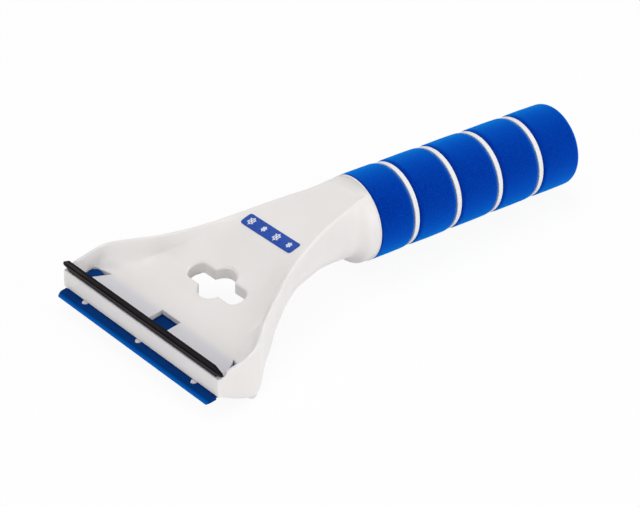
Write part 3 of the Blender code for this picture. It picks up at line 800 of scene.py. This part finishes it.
def placeOnGrip(piece, start, length):
    softenFoam(piece, start, length)
    piece.data.transform(gripMatrix(start) @ Matrix.Translation((0, 0, length)) @ Matrix.Rotation(pi, 4, "X"))


def makeGrip(foamSurface, stripeSurface):
    start = grip["collarLength"] + body["gap"]
    for number in range(1, grip["ringCount"] + 1):
        last = number == grip["ringCount"]
        length = grip["ring"] if number > 1 else grip["firstRing"]
        made = length + (foam["endLonger"] if last else 0)
        near = foam["rounding"] if number > 1 else foam["seatRounding"]
        piece = sleeve(f"foamRing{number}", made, grip["foamRadius"], near, foam["rounding"], foam["cuts"])
        placeOnGrip(piece, start, made)
        finishPiece(piece, f"grip_ring_{number}", foamSurface, 60)
        start += length + body["gap"]
        if not last:
            stripe = sleeve(f"foamStripe{number}", grip["stripe"], grip["foamRadius"] - foam["stripeInset"],
                            foam["stripeRounding"], foam["stripeRounding"], 0)
            placeOnGrip(stripe, start, grip["stripe"])
            finishPiece(stripe, f"grip_stripe_{number}", stripeSurface, 60)
        start += grip["stripe"] + body["gap"]


plug = {"flange": 1.6 * mm, "chamfer": 0.4 * mm, "depth": 9 * mm, "wall": 1.6 * mm, "dish": 0.5 * mm,
        "dishRadius": 8.5 * mm, "dishSlope": 0.6 * mm, "sides": 120}


def makePlug(surface):
    radius, top = grip["tubeRadius"], plug["flange"]
    skirt = radius - grip["tubeWall"] - body["gap"]
    bpy.ops.mesh.primitive_cylinder_add(vertices=plug["sides"], radius=radius, depth=top, location=(0, 0, top / 2))
    piece = justAdded("endPlug")
    selectInEdit("FACE", lambda face: isCap(face) and face.calc_center_median().z < close)
    bpy.ops.mesh.inset(thickness=radius - skirt, depth=0)
    extrudeBy(0, 0, -plug["depth"])
    bpy.ops.mesh.inset(thickness=plug["wall"], depth=0)
    extrudeBy(0, 0, plug["depth"])
    selectInEdit("FACE", lambda face: isCap(face) and face.calc_center_median().z > top - close)
    bpy.ops.mesh.inset(thickness=radius - plug["dishRadius"], depth=0)
    bpy.ops.mesh.inset(thickness=plug["dishSlope"], depth=-plug["dish"])
    selectInEdit("EDGE", rimAt(top, radius))
    bpy.ops.mesh.bevel(offset=plug["chamfer"], segments=4)
    leaveEdit()
    piece.data.transform(gripMatrix(grip["tubeEnd"] + body["gap"]))
    recalculate(piece)
    finishPiece(piece, "handle_end_plug", surface, 35)


# label: a plain blue strip with ice crystals, stuck on the deck

label = {"left": -17.6 * mm, "right": 17.2 * mm, "front": 62.4 * mm, "back": 68.3 * mm, "corner": 1.3 * mm,
         "thickness": 0.12 * mm, "lift": 0.03 * mm, "cells": (68, 16), "crystals": 4, "crystalRadius": 2.1 * mm,
         "smallCrystal": 0.7, "arm": 0.34 * mm, "ink": 0.03 * mm, "twigPlace": 0.5, "twigLength": 0.36,
         "twigTurn": 55}


def ontoDeck(piece, rise):
    for vertex in piece.data.vertices:
        vertex.co.z += deckHeight(vertex.co.x, vertex.co.y) + rise


def stripSheet():
    # a grid pulled in to the strip's round-cornered outline
    left, right, front, back = (label[key] for key in ("left", "right", "front", "back"))
    bpy.ops.mesh.primitive_grid_add(x_subdivisions=label["cells"][0], y_subdivisions=label["cells"][1], size=1,
                                    location=((left + right) / 2, (front + back) / 2, 0))
    piece = justAdded("labelStrip", (right - left, back - front, 1))
    radius = label["corner"]
    for vertex in piece.data.vertices:
        nearX = clamp(vertex.co.x, left + radius, right - radius)
        nearY = clamp(vertex.co.y, front + radius, back - radius)
        away = Vector((vertex.co.x - nearX, vertex.co.y - nearY))
        if away.length > 0:
            away *= max(abs(away.x), abs(away.y)) / away.length
            vertex.co.xy = (nearX + away.x, nearY + away.y)
    modify(piece, "SOLIDIFY", thickness=label["thickness"], offset=1)
    return piece


def crystal(x, y, radius):
    # six arms, each with one pair of side twigs, drawn as flat bars
    bars = []
    for turn in [radians(60 * i + 30) for i in range(6)]:
        fork = radius * label["twigPlace"]
        bars.append((radius, turn, (x, y, 0)))
        for side in (-1, 1):
            bars.append((radius * label["twigLength"], turn + side * radians(label["twigTurn"]),
                         (x + fork * cos(turn), y + fork * sin(turn), 0)))
    made = []
    for length, turn, place in bars:
        half = (label["arm"] / 2, label["ink"] / 2)
        bar = block("crystalArm", (0, -half[0], -half[1]), (length, half[0], half[1]))
        bar.data.transform(Matrix.Translation(place) @ Matrix.Rotation(turn, 4, "Z"))
        made.append(bar)
    return made


def makeLabel(blueSurface, whiteSurface):
    strip = stripSheet()
    ontoDeck(strip, label["lift"])
    finishPiece(strip, None, blueSurface, 40)
    spacing = (label["right"] - label["left"]) / label["crystals"]
    bars = []
    for number in range(label["crystals"]):
        size = label["crystalRadius"] * (label["smallCrystal"] if number % 2 else 1)
        bars += crystal(label["left"] + spacing * (number + 0.5), (label["front"] + label["back"]) / 2, size)
    crystals = joined("labelCrystals", bars)
    ontoDeck(crystals, label["lift"] + label["thickness"] + label["ink"] / 2)
    finishPiece(crystals, None, whiteSurface, 30)


# finishes

def feed(tree, node, **values):
    # a value is a setting of the node, a number or colour for an input, or an output to link to it; i0 is input 0
    for key, value in values.items():
        if hasattr(node, key):
            setattr(node, key, value)
            continue
        socket = node.inputs[int(key[1:]) if key[1:].isdigit() else key.replace("_", " ")]
        if isinstance(value, bpy.types.NodeSocket):
            tree.links.new(value, socket)
        else:
            socket.default_value = value
    return node


def addNode(tree, kind, **values):
    return feed(tree, tree.nodes.new("ShaderNode" + kind), **values)


def newMaterial(name):
    made = bpy.data.materials.new(name)
    made.use_nodes = True
    tree = made.node_tree
    return made, tree, tree.nodes["Principled BSDF"], addNode(tree, "TexCoord").outputs["Object"]


def noiseNode(tree, place, scale, detail, rough=0.5):
    return addNode(tree, "TexNoise", Vector=place, Scale=scale, Detail=detail, Roughness=rough).outputs["Fac"]


def mathNode(tree, operation, first, second):
    return addNode(tree, "Math", operation=operation, i0=first, i1=second).outputs[0]


def rangeNode(tree, source, low, high, fromLow=0.3, fromHigh=0.7, **values):
    made = addNode(tree, "MapRange", Value=source, From_Min=fromLow, From_Max=fromHigh, To_Min=low, To_Max=high)
    return feed(tree, made, **values).outputs["Result"]


def bandMask(tree, source, axis, start, end):
    # 0 before start and 1 past end, along one axis of a vector
    along = addNode(tree, "SeparateXYZ", i0=source).outputs[axis]
    return rangeNode(tree, along, 0, 1, start, end, interpolation_type="SMOOTHSTEP")


def mixColour(tree, mask, first, colour):
    return addNode(tree, "Mix", data_type="RGBA", i0=mask, i6=first, i7=(*colour, 1)).outputs[2]


def colourRamp(tree, source, stops):
    made = addNode(tree, "ValToRGB", Fac=source)
    while len(made.color_ramp.elements) < len(stops):
        made.color_ramp.elements.new(0.5)
    for element, (place, colour) in zip(made.color_ramp.elements, stops):
        element.position = place
        element.color = (*colour, 1)
    return made.outputs["Color"]


anyPlastic = {"ior": 1.49, "specular": 0.4, "gloss": (1, 1, 1), "smoother": 0.04, "rougher": 0.05,
              "cloudScale": 60, "grainDepth": 0.02 * mm}


def plasticFinish(name, settings):
    made, tree, shader, place = newMaterial(name)
    look = {**anyPlastic, **settings}
    cloud = noiseNode(tree, place, look["cloudScale"], 3)
    colour = colourRamp(tree, cloud, ((0.35, look["colour"]), (0.65, look["secondColour"])))
    # painted light: a band of another colour along one axis, on faces turned one way, standing in for shade,
    # highlight and reflection
    if "paintedLightBand" in look:
        mask = bandMask(tree, place, *look["paintedLightBand"])
        if "paintedLightFacing" in look:
            facing = bandMask(tree, addNode(tree, "NewGeometry").outputs["Normal"], *look["paintedLightFacing"])
            mask = mathNode(tree, "MULTIPLY", mask, facing)
        colour = mixColour(tree, mask, colour, look["paintedLightColour"])
    fine = noiseNode(tree, place, look["grainScale"], 2)
    rough = rangeNode(tree, fine, look["roughness"] - look["smoother"], look["roughness"] + look["rougher"])
    bump = addNode(tree, "Bump", Height=fine, Strength=look["bump"], Distance=look["grainDepth"])
    if "softEdge" in look:
        edge = addNode(tree, "Bevel", samples=4, Radius=look["softEdge"])
        feed(tree, bump, Normal=edge.outputs["Normal"])
    feed(tree, shader, Base_Color=colour, Roughness=rough, Normal=bump.outputs["Normal"], IOR=look["ior"],
         Specular_IOR_Level=look["specular"], Specular_Tint=(*look["gloss"], 1))
    if "glow" in look:
        feed(tree, shader, Subsurface_Weight=look["glow"], Subsurface_Radius=look["glowColour"],
             Subsurface_Scale=look["glowDepth"])
    return made


def foamFinish(name, look):
    made, tree, shader, place = newMaterial(name)
    grain = noiseNode(tree, place, look["grainScale"], 3, 0.6)
    cells = addNode(tree, "TexVoronoi", Vector=place, Scale=look["cellScale"]).outputs["Distance"]
    stops = ((0.3, look["darkColour"]), (0.5, look["colour"]), (0.72, look["lightColour"]))
    graze = addNode(tree, "LayerWeight", Blend=0.5).outputs["Facing"]
    paintedSheen = rangeNode(tree, graze, 0, look["paintedSheen"], 0.15, 0.9)  # painted sheen: a lighter colour where the skin is seen at a grazing angle
    colour = mixColour(tree, paintedSheen, colourRamp(tree, grain, stops), look["paintedSheenColour"])
    bump = addNode(tree, "Bump", Height=mathNode(tree, "ADD", grain, cells), Strength=look["bump"],
                   Distance=look["grainDepth"])
    tint = (*look["sheenTint"], 1)
    feed(tree, shader, Base_Color=colour, Normal=bump.outputs["Normal"], Roughness=look["roughness"],
         Specular_IOR_Level=look["specular"], Specular_Tint=tint,
         Sheen_Weight=look["sheen"], Sheen_Roughness=look["sheenRoughness"], Sheen_Tint=tint)
    return made


whitePlastic = {
    "colour": (0.8, 0.772, 0.758), "secondColour": (0.815, 0.79, 0.778), "cloudScale": 45, "grainScale": 1800,
    "roughness": 0.36, "bump": 0.25, "softEdge": 0.25 * mm, "glow": 0.4, "glowDepth": 2.5 * mm,
    "glowColour": (1, 0.95, 0.92),
    # the tray's upward faces darker and bluer: painted shade of the lip and front wall, and the blade showing
    # through
    "paintedLightBand": ("Y", -89.5 * mm, -94 * mm), "paintedLightFacing": ("Z", 0.1, 0.8), "paintedLightColour": (0.7, 0.69, 0.73)}
bluePlastic = {
    "colour": (0.0005, 0.03, 0.16), "secondColour": (0.0005, 0.036, 0.19), "grainScale": 1400, "roughness": 0.3,
    "bump": 0.12, "softEdge": 0.15 * mm, "specular": 0.03, "gloss": (0, 0.45, 1),
    "paintedLightBand": ("Y", -110.9 * mm, -112.4 * mm), "paintedLightColour": (0.0005, 0.11, 0.48)}  # painted highlight along the bevelled front edge
blackRubber = {
    "colour": (0.006, 0.005, 0.006), "secondColour": (0.01, 0.008, 0.009), "cloudScale": 90, "grainScale": 2400,
    "roughness": 0.42, "bump": 0.35, "grainDepth": 0.03 * mm, "softEdge": 0.12 * mm, "specular": 0.04,
    # painted reflection: the lower half of its front face is lighter
    "paintedLightBand": ("Z", 18.3 * mm, 18.1 * mm), "paintedLightFacing": ("Y", -0.5, -0.8), "paintedLightColour": (0.036, 0.026, 0.029)}
plugPlastic = {
    "colour": (0.78, 0.765, 0.75), "secondColour": (0.8, 0.785, 0.77), "grainScale": 1500, "roughness": 0.42,
    "bump": 0.3, "grainDepth": 0.03 * mm, "softEdge": 0.2 * mm}
labelBlue = {
    "colour": (0.003, 0.055, 0.36), "secondColour": (0.003, 0.062, 0.39), "cloudScale": 80, "grainScale": 1200,
    "roughness": 0.3, "bump": 0.08, "grainDepth": 0.01 * mm}
labelWhite = {**labelBlue, "colour": (0.8, 0.81, 0.83), "secondColour": (0.84, 0.85, 0.86), "roughness": 0.4}
# both foams get a painted sheen, a lighter colour mixed in at grazing angles
blueFoam = {
    "darkColour": (0.0003, 0.02, 0.22), "colour": (0.0006, 0.028, 0.31), "lightColour": (0.001, 0.044, 0.41),
    "grainScale": 1500, "cellScale": 2600, "bump": 0.55, "grainDepth": 0.12 * mm, "roughness": 0.85,
    "specular": 0.05, "sheen": 1, "sheenRoughness": 0.42, "sheenTint": (0, 0.4, 1), "paintedSheen": 1,
    "paintedSheenColour": (0.002, 0.085, 0.62)}
whiteFoam = {
    **blueFoam, "darkColour": (0.74, 0.74, 0.75), "colour": (0.8, 0.8, 0.8), "lightColour": (0.85, 0.85, 0.84),
    "bump": 0.5, "grainDepth": 0.1 * mm, "specular": 0.25, "sheen": 0.1, "sheenRoughness": 0.5,
    "sheenTint": (1, 1, 1), "paintedSheen": 0.5, "paintedSheenColour": (0.85, 0.85, 0.85)}

makeBody(plasticFinish("whitePlastic", whitePlastic))
makeBlade(plasticFinish("bluePlastic", bluePlastic))
makeLip(plasticFinish("blackRubber", blackRubber))
makeGrip(foamFinish("blueFoam", blueFoam), foamFinish("whiteFoam", whiteFoam))
makePlug(plasticFinish("plugPlastic", plugPlastic))
makeLabel(plasticFinish("labelBlue", labelBlue), plasticFinish("labelWhite", labelWhite))


# floor, light and camera

studio = {"floorSize": 6, "floorColour": 0.9, "floorGlow": 0.93, "worldStrength": 0.44,
          "sideLight": {"place": (0.85, 0.35, 0.3), "size": 0.7, "power": 3.9},
          "frontLight": {"place": (0.2, -0.95, 0.5), "size": 0.6, "power": 2.8},
          "topLight": {"place": (-0.3, 0.1, 1.1), "size": 0.8, "power": 5}}
white = (1, 1, 1, 1)


def blankTree(made):
    made.use_nodes = True
    made.node_tree.nodes.clear()
    return made.node_tree


def mixShader(tree, mask, first, second, end):
    mix = addNode(tree, "MixShader", i0=mask, i1=first.outputs[0], i2=second.outputs[0])
    addNode(tree, end, Surface=mix.outputs[0])


def makeFloor():
    # rays that see the floor find it nearly white, and the ones that light the tool find plain paper
    bpy.ops.mesh.primitive_grid_add(x_subdivisions=2, y_subdivisions=2, size=studio["floorSize"], location=(0, 0, 0))
    floor = justAdded("studioFloor")
    paper = bpy.data.materials.new("floorWhite")
    tree = blankTree(paper)
    rays = addNode(tree, "LightPath").outputs
    seen = mathNode(tree, "MAXIMUM", rays["Is Camera Ray"], rays["Is Glossy Ray"])
    seen = mathNode(tree, "MAXIMUM", seen, rays["Is Transmission Ray"])
    dull = addNode(tree, "BsdfDiffuse", Color=(*[studio["floorColour"]] * 3, 1))
    glow = addNode(tree, "Emission", Strength=1)
    mixShader(tree, mathNode(tree, "MULTIPLY", seen, studio["floorGlow"]), dull, glow, "OutputMaterial")
    floor.data.materials.append(paper)


def makeWorld():
    world = bpy.data.worlds.new("studioWorld")
    bpy.context.scene.world = world
    tree = blankTree(world)
    dim = addNode(tree, "Background", Color=white, Strength=studio["worldStrength"])
    bright = addNode(tree, "Background", Color=white, Strength=1)
    mixShader(tree, addNode(tree, "LightPath").outputs["Is Camera Ray"], dim, bright, "OutputWorld")


def makeLight(name, settings):
    lamp = bpy.data.lights.new(name, "AREA")
    lamp.shape = "DISK"
    lamp.size = settings["size"]
    lamp.energy = settings["power"]
    holder = linked(name, lamp)
    holder.location = settings["place"]
    holder.rotation_mode = "QUATERNION"
    holder.rotation_quaternion = (-Vector(settings["place"])).to_track_quat("-Z", "Y")


cameraSet = {"azimuth": 52.4426, "elevation": 27.5215, "roll": 1.42533, "distance": 1122.91 * mm,
             "right": 73.2158 * mm, "up": 34.7528 * mm, "lens": 156.732, "sensor": 36}


def makeCamera():
    # stands as the photograph's did, reckoned round the tool's own frame and laid down with it
    azimuth, elevation, roll = (radians(cameraSet[key]) for key in ("azimuth", "elevation", "roll"))
    back = Vector((sin(azimuth) * cos(elevation), -cos(azimuth) * cos(elevation), sin(elevation)))
    level = Vector((cos(azimuth), sin(azimuth), 0))
    upright = back.cross(level)
    right = level * cos(roll) + upright * sin(roll)
    up = upright * cos(roll) - level * sin(roll)
    stand = Matrix((right, up, back)).transposed().to_4x4()
    stand.translation = back * cameraSet["distance"] + right * cameraSet["right"] + up * cameraSet["up"]
    lens = bpy.data.cameras.new("photoCamera")
    lens.sensor_width = cameraSet["sensor"]
    lens.lens = cameraSet["lens"]
    lens.clip_start, lens.clip_end = 0.01, 50
    camera = linked("photoCamera", lens)
    camera.matrix_world = toFloor @ stand
    bpy.context.scene.camera = camera


makeFloor()
makeWorld()
for lamp in ("sideLight", "frontLight", "topLight"):
    makeLight(lamp, studio[lamp])
makeCamera()
bpy.context.scene.view_settings.view_transform = "Standard"
print("studio ready")

bpy.ops.object.select_all(action="DESELECT")
